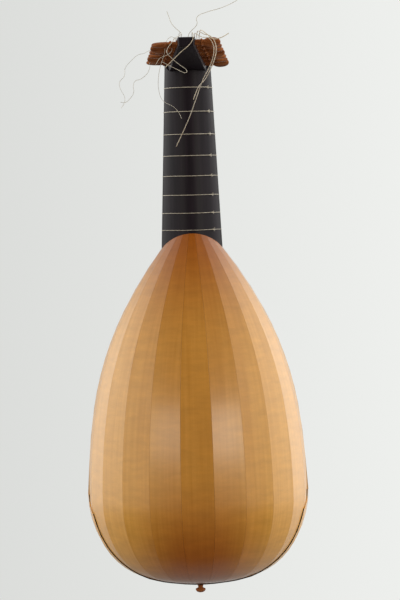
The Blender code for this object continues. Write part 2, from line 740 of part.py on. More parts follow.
def string_route(index):
    """From below the bridge over the nut, round the peg and along the free end."""
    number = string_of_peg(index)
    radius = STRING_MM[number] * MM / 2
    bridge_x = string_places(BRIDGE_PAIR_GAP, BRIDGE_COURSE_GAP)[number]
    nut_x = string_places(PAIR_GAP, COURSE_GAP)[number]
    depth, z = peg_axis(index)
    peg_x = PEG_STRING_X_MM[index] * MM
    outward = -1 if peg_x <= 0 else 1
    half = pegbox_half(depth, z)
    reach = half + (peg_x if peg_side(index) < 0 else -peg_x)
    wound = PEG_RADIUS - reach * PEG_TAPER + GAP + radius
    pitch = 3 * radius + 0.0008

    high = 0.0150 + GAP + radius
    over = -NUT_PROUD - GAP - radius
    route = [at(bridge_x, -BRIDGE_STRING_HEIGHT, BRIDGE_Z - 0.016),
             at(bridge_x, -BRIDGE_STRING_HEIGHT, BRIDGE_Z + 0.004),
             at(nut_x, over, NUT_Z), at(nut_x, over + 0.0004, high - 0.0010),
             at(nut_x, over + 0.0016, high)]
    count = round(TURNS * POINTS_PER_TURN)
    for step in range(count + 1):
        turned = TURNS * step / count
        angle = math.pi / 2 - 2 * math.pi * turned
        route.append(at(peg_x + outward * pitch * turned, depth + wound * math.cos(angle),
                        z + wound * math.sin(angle)))
    if index in TAILS_MM:
        route += smooth(route[-2:] + [at(x * MM, back * MM, up * MM) for x, back, up in TAILS_MM[index]])
    return route, radius


def build_strings(gut, wound_gut):
    gaps = []
    for index in range(PEGS):
        number = string_of_peg(index)
        route, radius = string_route(index)
        gaps.append(least_gap(route, radius, POINTS_PER_TURN // 2))
        name = f"string_{number + 1:02d}"
        curve = bpy.data.curves.new(name, "CURVE")
        curve.dimensions = "3D"
        curve.bevel_depth = radius
        curve.bevel_resolution = 2
        curve.use_fill_caps = True
        spline = curve.splines.new("POLY")
        spline.points.add(len(route) - 1)
        for point, place in zip(spline.points, route):
            point.co = (*place, 1.0)
        curve.materials.append(wound_gut if number < 6 else gut)
        bpy.context.scene.collection.objects.link(bpy.data.objects.new(name, curve))
    print(f"Least gap of a string to itself: {min(gaps) / MM:.2f} mm")


def build_button(pegwood):
    depth = 0.021
    top = TAIL_Z - 0.0012 - 2 * GAP
    rows = ((0.0, 0.0040), (-0.0008, 0.0036), (-0.0030, 0.0030), (-0.0042, 0.0042),
            (-0.0052, 0.0064), (-0.0066, 0.0065), (-0.0086, 0.0050), (-0.0096, 0.0026))
    rings = []
    for drop, radius in rows:
        ring = []
        for i in range(12):
            angle = 2 * math.pi * i / 12
            ring.append(at(radius * math.cos(angle), depth + radius * math.sin(angle), top + drop))
        rings.append(ring)
    node("end_button", loft("end_button", rings), pegwood)


def main():
    for old in list(bpy.data.objects):
        bpy.data.objects.remove(old)
    ribwood = material("varnished_ribwood", (0.48, 0.24, 0.08), 0.25)
    cap_finish = material("varnished_cap", (0.45, 0.22, 0.08), 0.25)
    spruce = material("spruce", (0.72, 0.52, 0.30), 0.55)
    ebony = material("ebony", (0.015, 0.012, 0.012), 0.25)
    bone = material("bone", (0.80, 0.75, 0.62), 0.35)
    pegwood = material("plumwood", (0.28, 0.07, 0.03), 0.35)
    pearwood = material("pearwood", (0.12, 0.06, 0.03), 0.40)
    gut = material("gut", (0.70, 0.58, 0.40), 0.40)
    wound_gut = material("wound_gut", (0.55, 0.42, 0.28), 0.35)

    build_bowl(ribwood, cap_finish, spruce)
    build_soundboard(spruce)
    build_bridge(pearwood)
    build_neck(ebony)
    build_nut(bone)
    for number in range(1, FRETS + 1):
        build_fret(number, gut)
    build_pegbox(ebony)
    build_pegs(pegwood)
    build_strings(gut, wound_gut)
    build_button(pegwood)


main()
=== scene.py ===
"""Looks for the seven-course lute: varnished woods, gut, smooth pegs and the loose string ends."""

import math

import bmesh
import bpy
from mathutils import Matrix, Vector


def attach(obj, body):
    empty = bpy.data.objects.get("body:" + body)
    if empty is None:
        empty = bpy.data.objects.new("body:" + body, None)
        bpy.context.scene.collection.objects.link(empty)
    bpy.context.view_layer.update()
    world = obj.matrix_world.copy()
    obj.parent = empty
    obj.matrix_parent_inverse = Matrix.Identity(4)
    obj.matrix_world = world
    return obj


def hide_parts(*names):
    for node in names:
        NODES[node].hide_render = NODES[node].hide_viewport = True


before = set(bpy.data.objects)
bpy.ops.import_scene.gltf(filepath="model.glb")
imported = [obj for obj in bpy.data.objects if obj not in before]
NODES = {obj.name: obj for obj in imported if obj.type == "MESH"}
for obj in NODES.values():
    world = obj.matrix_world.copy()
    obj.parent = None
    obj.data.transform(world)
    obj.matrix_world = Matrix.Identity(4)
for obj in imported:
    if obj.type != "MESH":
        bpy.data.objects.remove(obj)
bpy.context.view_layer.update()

MM = 0.001

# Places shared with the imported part, in metres.
FRONT_Y = -0.036
NUT_Z = 0.0125
BRIDGE_Z = NUT_Z - 0.590
NUT_PROUD = 0.0012
NUT_TOP_Z = 0.0150
GAP = 0.0003
BRIDGE_STRING_HEIGHT = 0.0050

PEGS = 13
PEG_FIRST = 0.0270
PEG_PITCH = 0.0136
PEG_Z = (0.0078, 0.0070)
PEG_RADIUS = 0.0036
PEG_TAPER = 1 / 56
PEGBOX_LENGTH = 0.205
FLOOR_HALF = (0.0243, 0.0092)
OPEN_HALF = (0.0275, 0.0098)
CHEEK_TOP_AT_NUT = 0.0170

STRING_LENGTH = 0.590
NECK_LENGTH = 0.242
JOINT_Z = NUT_Z - NECK_LENGTH
JOINT_SLOPE = 0.77
NECK_HALF = (0.0300, 0.0399)
NECK_DEPTH = (0.0220, 0.0247)
NECK_FRONT = 0.0023
SHOULDER_Z = 0.0090
SHOULDER_DEPTH = 0.0120
HALF_WIDTH = 0.1426
WIDEST_Z = JOINT_Z - 0.318
# The outline leaves the widest point as tangent arcs: radius in metres, turn in degrees, steps.
ARCS_UP = ((0.680, 9.5, 10), (0.420, 18.0, 16), (0.552, 13.5, 14))
ARCS_DOWN = ((0.126, 30.0, 14), (0.0980, 46.0, 20), (0.2669, 14.0, 10))
RIBS = 11
RIB_THICKNESS = 0.0015
RIB_ANGLE = math.pi / RIBS
RIB_END_RADIUS = 0.006
RIB_CROWN = 0.0003
RIB_GAP = 0.00016
RIB_COLUMNS = 6
RIB_FIRST_DROP = 0.004
JOINT_TURN = math.radians(38.7)
GRAIN_SHIFT = (0.3, 1.7)
RIM_DEPTH = 0.0019
FRETS = 8
FRET_RADIUS = (0.00045, 0.00033)
FRET_SAG = 0.0018
FRET_CORNER = 0.85
FRET_STEPS = 56
FRET_SIDE_DEPTH = 0.0005
KNOT_STEP = 8
KNOT_SWELL = 1.3
KNOT_REACH = 1.5
KNOT_END = (-0.0012, 0.0010, 0.0020)
PEG_TURN = math.radians(24)
PEG_TURN_STEP = 2.1
PEG_SIDES = 28
PEG_END_OUT = 0.0015
PEG_EDGE = 0.0004

# String diameters from the lowest bass to the single treble, in millimetres.
STRING_MM = (1.10, 1.00, 1.00, 0.90, 0.85, 0.80, 0.65, 0.65, 0.60, 0.60, 0.50, 0.50, 0.45)
WOUND_STRINGS = 6
PEG_STRING_X_MM = (-14.7, 15.6, -12.8, 13.2, -10.8, 11.0, -8.8, 8.6, -6.5, 6.2, -3.5, 3.5, 0.0)
PAIR_GAP = 0.0033
COURSE_GAP = 0.0042
BRIDGE_PAIR_GAP = 0.0052
BRIDGE_COURSE_GAP = 0.0092
TURNS = 1.75
POINTS_PER_TURN = 16
STRING_BEHIND_BRIDGE = 0.016
STRING_AHEAD_OF_BRIDGE = 0.004
NUT_ROUND = ((0.0004, -0.0010), (0.0016, 0.0))
WINDING_GAP = 0.0008

# Free string ends, by peg counted from the nut: places across, behind and up, in millimetres.
TAILS_MM = {
    12: ((-3.0, 186.0, 17.0), (-6.0, 188.0, 21.0), (-11.0, 192.0, 25.0), (-13.5, 195.5, 29.0),
         (-12.7, 196.0, 33.6), (-15.0, 195.0, 37.5), (-24.3, 190.0, 42.4), (-40.5, 180.0, 48.6),
         (-54.2, 170.0, 55.7), (-62.3, 165.0, 60.8)),
    11: ((6.4, 173.0, 15.0), (5.6, 180.0, 17.5), (5.8, 186.0, 19.0), (8.5, 189.0, 21.5),
         (12.2, 190.0, 24.6), (17.0, 190.0, 30.6), (19.7, 190.0, 38.1), (22.0, 190.0, 44.7)),
    10: ((-7.0, 161.0, 17.5), (-7.0, 170.0, 19.5), (-7.2, 190.0, 19.0), (-7.5, 200.0, 17.0),
         (-8.5, 206.5, 12.5), (-6.8, 209.0, 5.5), (7.5, 210.0, -8.0), (25.1, 211.0, -24.8)),
    9: ((9.2, 147.0, 17.5), (9.0, 155.0, 19.5), (8.4, 180.0, 19.0), (7.0, 198.0, 17.5),
        (5.6, 206.0, 14.3), (12.3, 212.0, 9.2), (17.2, 214.0, 3.1), (22.2, 214.5, -3.9),
        (22.9, 214.0, -8.0), (18.8, 213.5, -13.1), (9.0, 213.0, -21.9), (0.0, 212.5, -29.8),
        (0.4, 212.0, -31.4), (10.9, 209.0, -27.5), (17.9, 207.5, -23.5), (28.9, 207.0, -17.7)),
    8: ((-10.4, 134.0, 17.0), (-10.4, 142.0, 18.6), (-10.4, 185.0, 18.4), (-11.5, 199.0, 16.0),
        (-19.0, 206.5, 10.4), (-26.3, 210.0, 8.6), (-31.3, 212.0, 1.0), (-32.2, 212.0, -7.3),
        (-29.8, 208.0, -17.4), (-25.1, 200.0, -26.9), (-20.3, 186.0, -33.5), (-10.0, 138.0, -53.0),
        (0.3, 90.0, -72.9), (16.4, 60.0, -102.3)),
    7: ((11.9, 122.0, 17.5), (11.9, 130.0, 19.6), (12.2, 150.0, 19.6), (15.0, 160.0, 17.0),
        (17.2, 163.0, 9.0), (18.0, 164.0, 1.5), (25.7, 165.5, -4.0), (31.8, 166.0, -6.5),
        (37.5, 167.0, -15.1)),
    6: ((-13.3, 106.5, 17.5), (-13.3, 115.0, 19.8), (-13.3, 185.0, 19.8), (-15.0, 200.0, 18.6),
        (-21.5, 210.5, 13.0), (-28.6, 214.5, 9.8), (-34.0, 215.5, 1.6), (-34.8, 215.5, -7.6),
        (-32.0, 211.5, -18.6), (-27.2, 203.5, -28.6), (-22.0, 191.0, -36.0), (-12.7, 163.0, -42.9),
        (-6.8, 150.0, -55.0)),
    5: ((14.3, 95.0, 17.5), (14.3, 103.0, 20.6), (14.6, 148.0, 20.6), (20.0, 159.0, 19.0),
        (25.0, 161.5, 12.0), (26.6, 161.5, 0.0), (30.2, 159.0, -10.0), (32.5, 150.0, -15.0),
        (36.0, 120.0, -28.3), (36.1, 100.0, -35.6), (33.7, 80.0, -43.2), (29.0, 65.0, -47.0),
        (18.9, 50.0, -51.0), (12.7, 45.0, -57.3), (9.1, 42.0, -64.9)),
    4: ((-16.0, 79.5, 17.5), (-16.0, 88.0, 20.4), (-16.4, 180.0, 20.4), (-18.5, 203.0, 19.0),
        (-25.0, 214.0, 12.0), (-32.0, 219.0, 6.0), (-40.2, 219.0, 7.0), (-50.0, 216.0, 12.5)),
    3: ((16.6, 64.3, 17.5), (19.5, 62.5, 20.3), (30.0, 58.0, 21.0), (42.0, 54.5, 17.5),
        (47.0, 54.2, 8.0), (49.0, 54.2, -4.2), (59.5, 58.0, -15.5), (66.6, 60.0, -18.2),
        (69.2, 62.0, -25.6), (68.7, 62.0, -32.1), (74.2, 62.0, -41.1), (80.7, 62.0, -45.5),
        (85.9, 62.0, -44.6)),
    1: ((19.0, 36.9, 17.5), (21.0, 36.9, 21.0), (30.0, 38.0, 23.0), (41.0, 40.0, 23.5),
        (46.1, 40.0, 23.9), (55.2, 42.0, 19.7), (63.0, 45.0, 17.2), (70.9, 48.0, 10.2),
        (79.5, 50.0, -0.3), (80.3, 52.0, -9.6), (86.9, 55.0, -19.1), (85.8, 56.0, -27.0),
        (80.8, 56.0, -37.6), (81.0, 55.0, -43.8), (85.2, 54.0, -51.4)),
}


def at(x, depth, z):
    """A point from its place across, its depth behind the front plane, and its height."""
    return Vector((x, FRONT_Y + depth, z))


def mix(a, b, share):
    return a + (b - a) * share


COAT_ROUGHNESS = 0.22
GRAIN_DETAIL = 5.0
GRAIN_STOPS = (0.32, 0.68)

# Rib wood: two grain colours, and painted shade: a brown over the middle of the back and towards both
# ends that fades out at the sides, with where that starts and stops.
RIB_LIGHT = (0.65, 0.315, 0.052)
RIB_DARK = (0.58, 0.268, 0.036)
RIB_SHADE_BROWN = (0.45, 0.19, 0.01, 1.0)
PAINTED_MIDDLE_SHADE = 0.34
PAINTED_END_SHADE = 0.54
SHADE_FADE_X = (0.015, 0.115)
TAIL_SHADE_Z = (-0.50, -0.63)
TOP_SHADE_Z = (-0.36, -0.21)
FLECK_STRETCH = (0.3, 1, 1)
FLECK_SCALE = 100
FLECK_DETAIL = 4.0
FLECK_ROUGHNESS = 0.65
FLECK_NOISE = (0.30, 0.70)
FLECK_LEVEL = (0.91, 1.09)
CUT_EDGE = (0.035, 0.014, 0.006, 1.0)
STRAIGHT_BACK = 0.8


def axes_of(tree, kind, output):
    """The X, Y and Z of a place or direction, as sockets."""
    source = tree.nodes.new(kind)
    parts = tree.nodes.new("ShaderNodeSeparateXYZ")
    tree.links.new(source.outputs[output], parts.inputs["Vector"])
    return parts.outputs


def noise_of(tree, space, stretch, scale, detail, roughness=0.5):
    """Noise stretched along one axis, between 0 and 1."""
    place = tree.nodes.new("ShaderNodeTexCoord")
    mapping = tree.nodes.new("ShaderNodeMapping")
    mapping.inputs["Scale"].default_value = stretch
    noise = tree.nodes.new("ShaderNodeTexNoise")
    noise.inputs["Scale"].default_value = scale
    noise.inputs["Detail"].default_value = detail
    noise.inputs["Roughness"].default_value = roughness
    tree.links.new(place.outputs[space], mapping.inputs["Vector"])
    tree.links.new(mapping.outputs["Vector"], noise.inputs["Vector"])
    return noise.outputs["Fac"]


def fitted(tree, value, source, target=(0.0, 1.0), kind="LINEAR"):
    """The value moved from one range to another, and held at both ends."""
    fit = tree.nodes.new("ShaderNodeMapRange")
    fit.interpolation_type = kind
    fit.inputs["From Min"].default_value, fit.inputs["From Max"].default_value = source
    fit.inputs["To Min"].default_value, fit.inputs["To Max"].default_value = target
    tree.links.new(value, fit.inputs["Value"])
    return fit.outputs["Result"]


def combined(tree, operation, first, second=0.0):
    """A sum, product or other result of two values, each of them a number or a socket."""
    result = tree.nodes.new("ShaderNodeMath")
    result.operation = operation
    for socket, value in zip(result.inputs, (first, second)):
        if isinstance(value, float):
            socket.default_value = value
        else:
            tree.links.new(value, socket)
    return result.outputs[0]


def blended(tree, kind, factor, under, colour):
    """A colour over another one, as strongly as the factor says."""
    blend = tree.nodes.new("ShaderNodeMix")
    blend.data_type = "RGBA"
    blend.blend_type = kind
    blend.inputs["B"].default_value = colour
    tree.links.new(factor, blend.inputs["Factor"])
    tree.links.new(under, blend.inputs["A"])
    return blend.outputs["Result"]


def finish(name, light, dark, stretch, scale, roughness, coat=0.0, space="Object", gloss=0.5):
    """A procedural material: grain between two colours, stretched along one axis, under varnish."""
    made = bpy.data.materials.new(name)
    made.use_nodes = True
    tree = made.node_tree
    shader = tree.nodes["Principled BSDF"]
    shader.inputs["Roughness"].default_value = roughness
    shader.inputs["Specular IOR Level"].default_value = gloss
    shader.inputs["Coat Weight"].default_value = coat
    shader.inputs["Coat Roughness"].default_value = COAT_ROUGHNESS
    ramp = tree.nodes.new("ShaderNodeValToRGB")
    for element, stop, colour in zip(ramp.color_ramp.elements, GRAIN_STOPS, (dark, light)):
        element.position = stop
        element.color = (*colour, 1.0)
    tree.links.new(noise_of(tree, space, stretch, scale, GRAIN_DETAIL), ramp.inputs["Fac"])
    tree.links.new(ramp.outputs["Color"], shader.inputs["Base Color"])
    return made


def figured(tree, wood, space):
    """Faint cross figure: short flecks across the grain, a little lighter and darker than the wood."""
    flecks = noise_of(tree, space, FLECK_STRETCH, FLECK_SCALE, FLECK_DETAIL, FLECK_ROUGHNESS)
    shift = tree.nodes.new("ShaderNodeHueSaturation")
    tree.links.new(fitted(tree, flecks, FLECK_NOISE, FLECK_LEVEL), shift.inputs["Value"])
    tree.links.new(wood, shift.inputs["Color"])
    return shift.outputs["Color"]


def varnished_with_painted_shade(name, stretch, space="Object", painted_end_shade=PAINTED_END_SHADE):
    """Varnished rib wood with painted shade: browner in the middle of the back and at both ends, so that
    the sides stay yellower.
    """
    made = finish(name, RIB_LIGHT, RIB_DARK, stretch, 210, 0.34, 0.35, space, 0.28)
    tree = made.node_tree
    shader = tree.nodes["Principled BSDF"]
    grain = shader.inputs["Base Color"].links[0].from_socket
    place = axes_of(tree, "ShaderNodeTexCoord", "Object")
    # Painted shade: the brown fades out towards the sides, rises towards the tail and the top, and is
    # multiplied into the grain.
    side = fitted(tree, combined(tree, "ABSOLUTE", place["X"]), SHADE_FADE_X, kind="SMOOTHSTEP")
    tail = fitted(tree, place["Z"], TAIL_SHADE_Z, kind="SMOOTHSTEP")
    top_shade = fitted(tree, place["Z"], TOP_SHADE_Z, kind="SMOOTHSTEP")
    ends = combined(tree, "MAXIMUM", tail, top_shade)
    shade = combined(tree, "ADD", combined(tree, "MULTIPLY", ends, painted_end_shade), PAINTED_MIDDLE_SHADE)
    depth = combined(tree, "MULTIPLY", shade, combined(tree, "SUBTRACT", 1.0, side))
    painted_shade_wood = blended(tree, "MULTIPLY", depth, grain, RIB_SHADE_BROWN)
    tree.links.new(figured(tree, painted_shade_wood, space), shader.inputs["Base Color"])
    return made


def dark_edged(made):
    """Darkens the faces that look straight back, which are the strip's cut edge."""
    tree = made.node_tree
    shader = tree.nodes["Principled BSDF"]
    wood = shader.inputs["Base Color"].links[0].from_socket
    facing = axes_of(tree, "ShaderNodeNewGeometry", "True Normal")
    edge = combined(tree, "GREATER_THAN", facing["Y"], STRAIGHT_BACK)
    tree.links.new(blended(tree, "MIX", edge, wood, CUT_EDGE), shader.inputs["Base Color"])
    return made


# Both carry painted shade: the ribs over the middle and towards both ends, the cap strip over the middle
# only.
ribwood = varnished_with_painted_shade("ribwood", (1, 0.03, 1), "UV")
cap = dark_edged(varnished_with_painted_shade("cap", (0.03, 1, 1), painted_end_shade=0.0))
spruce = finish("spruce", (0.72, 0.50, 0.27), (0.60, 0.38, 0.18), (1, 1, 0.02), 420, 0.5, 0.15)
ebony = finish("ebony", (0.016, 0.010, 0.014), (0.009, 0.006, 0.008), (1, 1, 0.04), 260, 0.42,
               gloss=0.12)
plumwood = finish("plumwood", (0.35, 0.115, 0.033), (0.15, 0.038, 0.010), (0.1, 1, 1), 300, 0.45,
                  gloss=0.06)
pearwood = finish("pearwood", (0.13, 0.06, 0.028), (0.07, 0.03, 0.015), (0.1, 1, 1), 300, 0.4, 0.2)
bone = finish("bone", (0.80, 0.74, 0.60), (0.72, 0.65, 0.50), (1, 1, 1), 120, 0.35)
gut = finish("gut", (0.62, 0.55, 0.44), (0.44, 0.37, 0.28), (1, 1, 1), 300, 0.35, 0.3)
wound = finish("wound", (0.66, 0.55, 0.40), (0.48, 0.37, 0.25), (1, 1, 1), 300, 0.30, 0.3)


def dress(names, made):
    """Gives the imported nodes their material."""
    for name in names:
        slots = NODES[name].data.materials
        slots.clear()
        slots.append(made)


dress(["cap_strip"], cap)
dress(["soundboard", "neck_block", "end_lining"], spruce)
dress(["neck", "fingerboard"], ebony)
dress(["pegbox_floor", "pegbox_cheek_bass", "pegbox_cheek_treble", "pegbox_end_block"], ebony)
dress([f"peg_{number:02d}" for number in range(1, PEGS + 1)] + ["end_button"], plumwood)
dress(["bridge"], pearwood)
dress(["nut"], bone)
dress([f"fret_{number}" for number in range(1, FRETS + 1)], gut)


def neck_section(z):
    """The neck's half-width at a height, and how far its section departs from a half round."""
    share = (NUT_Z - z) / NECK_LENGTH
    half = mix(*NECK_HALF, share)
    return half, half / mix(*NECK_DEPTH, share) - 1


def neck_point(z, angle):
    """Across and depth of the neck's surface, with angle measured from straight back."""
    half, shape = neck_section(z)
    radius = half / (1 + shape * math.cos(angle))
    return radius * math.sin(angle), radius * math.cos(angle)


def flat_angle(z, depth):
    """The angle at which the neck's surface is this deep."""
    half, shape = neck_section(z)
    return math.acos(depth / (half - shape * depth))


def new_piece(name, points, faces, made, smooth_degrees=40.0, spots=None):
    """A mesh object with smooth faces, sharp edges past an angle, and grain places if given."""
    mesh = bpy.data.meshes.new(name)
    mesh.from_pydata(points, [], faces)
    mesh.validate()
    work = bmesh.new()
    work.from_mesh(mesh)
    bmesh.ops.recalc_face_normals(work, faces=work.faces)
    work.to_mesh(mesh)
    work.free()
    mesh.shade_smooth()
    mesh.set_sharp_from_angle(angle=math.radians(smooth_degrees))
    if spots:
        layer = mesh.uv_layers.new(name="grain")
        for loop in mesh.loops:
            layer.data[loop.index].uv = spots[loop.vertex_index]
    mesh.materials.append(made)
    piece = bpy.data.objects.new(name, mesh)
    bpy.context.scene.collection.objects.link(piece)
    return piece


def loft_faces(rows, count):
    """The faces between closed rings that follow each other in a list of points."""
    return [(low + i, low + (i + 1) % count, low + count + (i + 1) % count, low + count + i)
            for low in range(0, (rows - 1) * count, count) for i in range(count)]


def band_caps(rows, count):
    """Bands straight across both ends of a loft whose ends bend from front to back."""
    bands = [(first + i, first + i + 1, first + count - 2 - i, first + count - 1 - i)
             for first in (0, (rows - 1) * count) for i in range(count // 2)]
    return [tuple(dict.fromkeys(band)) for band in bands]


def outline_arcs():
    """Each arc of the outline as its centre, radius, turn limits, direction and steps."""
    arcs = []
    for rows, way in ((ARCS_UP, 1), (ARCS_DOWN, -1)):
        width, height, turned = HALF_WIDTH, WIDEST_Z, 0.0
        for radius, turn, steps in rows:
            end = turned + math.radians(turn)
            centre = (width - radius * math.cos(turned), height - way * radius * math.sin(turned))
            arcs.append((centre, radius, turned, end, way, steps))
            width = centre[0] + radius * math.cos(end)
            height = centre[1] + way * radius * math.sin(end)
            turned = end
    return arcs


ARCS = outline_arcs()


def radius_at(z):
    """The outline's half-width at a height."""
    side = 1 if z >= WIDEST_Z else -1
    for centre, radius, _, end, way, _ in ARCS:
        if way == side and (centre[1] + way * radius * math.sin(end) - z) * way >= -GAP:
            return centre[0] + math.sqrt(max(radius**2 - (z - centre[1]) ** 2, 0.0))
    return 0.0


def stations(top_z):
    """(half-width, height, turn) down the outline from just below top_z to the tail."""
    found = [(HALF_WIDTH, WIDEST_Z, 0.0)]
    for centre, radius, start, end, way, steps in ARCS:
        for step in range(steps):
            turn = mix(start, end, (step + 1) / steps)
            found.append((centre[0] + radius * math.cos(turn),
                          centre[1] + way * radius * math.sin(turn), way * turn))
    found.sort(key=lambda row: -row[1])
    return [row for row in found if row[1] < top_z]


def rib_edge(radius, edge):
    """Across and depth of one of the ribs' edges. The outermost edges stop under the soundboard."""
    if edge in (0, RIBS):
        side = 1 if edge == 0 else -1
        return Vector((side * (radius - RIM_DEPTH * math.tan(RIB_ANGLE / 2)), RIM_DEPTH))
    return Vector((math.cos(edge * RIB_ANGLE), math.sin(edge * RIB_ANGLE))) * radius


def rib_row(index, radius, crown):
    """Places across one rib at a half-width of the back, with a slight crown."""
    first, last = rib_edge(radius, index), rib_edge(radius, index + 1)
    across = (last - first).normalized()
    if index > 0:
        first = first + across * RIB_GAP / 2
    if index < RIBS - 1:
        last = last - across * RIB_GAP / 2
    out = Vector((math.cos((index + 0.5) * RIB_ANGLE), math.sin((index + 0.5) * RIB_ANGLE)))
    row = []
    for column in range(RIB_COLUMNS):
        share = column / (RIB_COLUMNS - 1)
        row.append(first.lerp(last, share) + out * crown * 4 * share * (1 - share))
    return row


def joint_ring(index, inset, crown):
    """Where a rib meets the neck joint's plane, which slants up towards the back."""
    ring = []
    for column in range(RIB_COLUMNS):
        z = JOINT_Z
        for _ in range(50):
            place = rib_row(index, radius_at(z) - inset, crown)[column]
            slant = JOINT_Z + JOINT_SLOPE * max(place.y - NECK_FRONT, 0.0) - GAP
            z = mix(z, slant, 0.5)
        ring.append(at(place.x, place.y, z))
    return ring


def build_rib(index):
    """A bent strip that follows the outline from the neck joint to the tail."""
    thick_at_joint = RIB_THICKNESS / math.cos(JOINT_TURN)
    outer = joint_ring(index, 0.0, RIB_CROWN / 3)
    inner = joint_ring(index, thick_at_joint, RIB_CROWN / 3)
    rings = [outer + inner[::-1]]
    lengths = [0.0]
    middle = RIB_COLUMNS // 2
    for width, z, turn in stations(JOINT_Z - RIB_FIRST_DROP):
        if width < RIB_END_RADIUS:
            continue
        crown = RIB_CROWN * min(width / HALF_WIDTH, 1.0)
        outer = [at(place.x, place.y, z) for place in rib_row(index, width, crown)]
        inside = width - RIB_THICKNESS * math.cos(turn)
        inner_z = z - RIB_THICKNESS * math.sin(turn)
        inner = [at(place.x, place.y, inner_z) for place in rib_row(index, inside, crown)]
        lengths.append(lengths[-1] + (outer[middle] - rings[-1][middle]).length)
        rings.append(outer + inner[::-1])
    count = 2 * RIB_COLUMNS
    points = [point for ring in rings for point in ring]
    spots = []
    for ring, along in zip(rings, lengths):
        centre = (ring[0] + ring[RIB_COLUMNS - 1]) / 2
        for i, point in enumerate(ring):
            side = 1 if min(i, count - 1 - i) < middle else -1
            spots.append((index * GRAIN_SHIFT[0] + side * (point - centre).length,
                          along + index * GRAIN_SHIFT[1]))
    faces = loft_faces(len(rings), count)
    for first in (0, len(points) - count):
        faces += [(first + i, first + i + 1, first + count - 2 - i, first + count - 1 - i)
                  for i in range(RIB_COLUMNS - 1)]
    rib = new_piece(f"bent_rib_{index + 1:02d}", points, faces, ribwood, 35.0, spots)
    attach(rib, "lute")
    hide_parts(f"rib_{index + 1:02d}")


for index in range(RIBS):
    build_rib(index)


def build_neck():
    rows, reach = 25, 24
    rings = [[] for _ in range(rows)]
    for line in range(-reach, reach + 1):
        share = line / reach
        low, high = JOINT_Z, SHOULDER_Z
        for _ in range(60):
            depth = neck_point(low, share * flat_angle(low, NECK_FRONT))[1]
            low = JOINT_Z + JOINT_SLOPE * max(depth - NECK_FRONT, 0.0)
            depth = neck_point(high, share * flat_angle(high, NECK_FRONT))[1]
            high = SHOULDER_Z * max(1 - depth / SHOULDER_DEPTH, 0.0)
        for row in range(rows):
            z = mix(low, high, row / (rows - 1))
            rings[row].append(at(*neck_point(z, share * flat_angle(z, NECK_FRONT)), z))
    count = 2 * reach + 1
    caps = [face for face in band_caps(rows, count) if len(face) > 2]
    neck = new_piece("smooth_neck", [point for ring in rings for point in ring],
                     loft_faces(rows, count) + caps, ebony)
    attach(neck, "lute")
    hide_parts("neck")


build_neck()


def build_fret(number):
    """A gut loop that lies a little lower behind the neck, with its knot and the knot's two cut ends."""
    z = NUT_Z - STRING_LENGTH * (1 - 2 ** (-number / 12))
    radius = mix(*FRET_RADIUS, (number - 1) / (FRETS - 1))
    lift = radius + GAP
    limit = flat_angle(z, FRET_SIDE_DEPTH)
    path = []
    for step in range(FRET_STEPS + 1):
        angle = mix(-limit, limit, step / FRET_STEPS)
        low = z - FRET_SAG * max(math.cos(angle), 0.0)
        x, depth = neck_point(low, angle)
        ahead = neck_point(low, angle + 0.01)
        along = Vector((ahead[0] - x, ahead[1] - depth, 0)).normalized()
        out = Vector((-along.y, along.x, 0))
        grow = 1.0 + KNOT_SWELL * max(1.0 - abs(step - KNOT_STEP) / KNOT_REACH, 0.0)
        path.append((at(x, depth, low) + out * lift * grow, grow))
    half = neck_section(z)[0]
    path.append((at(half + lift * FRET_CORNER, -lift * FRET_CORNER, z), 1.0))
    path += [(at(half * share, -lift, z), 1.0) for share in (0.95, 0.5, 0.0, -0.5, -0.95)]
    path.append((at(-half - lift * FRET_CORNER, -lift * FRET_CORNER, z), 1.0))
    curve = bpy.data.curves.new(f"tied_fret_{number}", "CURVE")
    curve.dimensions = "3D"
    curve.bevel_depth = radius
    curve.bevel_resolution = 2
    curve.use_fill_caps = True
    loop = curve.splines.new("POLY")
    loop.points.add(len(path) - 1)
    loop.use_cyclic_u = True
    for knot, (place, grow) in zip(loop.points, path):
        knot.co = (*place, 1.0)
        knot.radius = grow
    centre = path[KNOT_STEP][0]
    across, back, up = KNOT_END
    for side in (-1, 1):
        end = curve.splines.new("POLY")
        end.points.add(1)
        end.points[0].co = (*centre, 1.0)
        end.points[1].co = (centre.x + across, centre.y + back, centre.z + side * up, 1.0)
    curve.materials.append(gut)
    fret = bpy.data.objects.new(curve.name, curve)
    bpy.context.scene.collection.objects.link(fret)
    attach(fret, f"fret_{number}_body")
    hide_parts(f"fret_{number}")


for number in range(1, FRETS + 1):
    build_fret(number)


def pegbox_half(depth, z):
    """The pegbox's half-width at a depth along it and a height above its floor."""
    along = depth / PEGBOX_LENGTH
    return mix(mix(*FLOOR_HALF, along), mix(*OPEN_HALF, along), z / CHEEK_TOP_AT_NUT)


def peg_axis(index):
    """The depth and height of a peg's axis."""
    return PEG_FIRST + PEG_PITCH * index, mix(*PEG_Z, index / (PEGS - 1))


# Distance out from the near cheek, half-width and half-thickness of a peg, in millimetres.
PEG_PROFILE_MM = ((6.0, 3.7, 3.7), (6.5, 4.5, 4.5), (7.1, 4.8, 4.8), (7.9, 4.8, 4.8), (8.5, 4.4, 4.4),
                  (9.0, 3.7, 3.7), (9.8, 3.6, 3.4), (11.0, 4.3, 3.5), (12.4, 6.0, 3.7), (14.2, 7.7, 3.7),
                  (16.4, 8.8, 3.6), (18.8, 9.1, 3.6), (21.4, 9.0, 3.4), (24.0, 8.4, 3.2),
                  (26.4, 7.2, 2.8), (28.2, 5.6, 2.3), (29.4, 3.6, 1.6), (30.0, 1.4, 0.7))


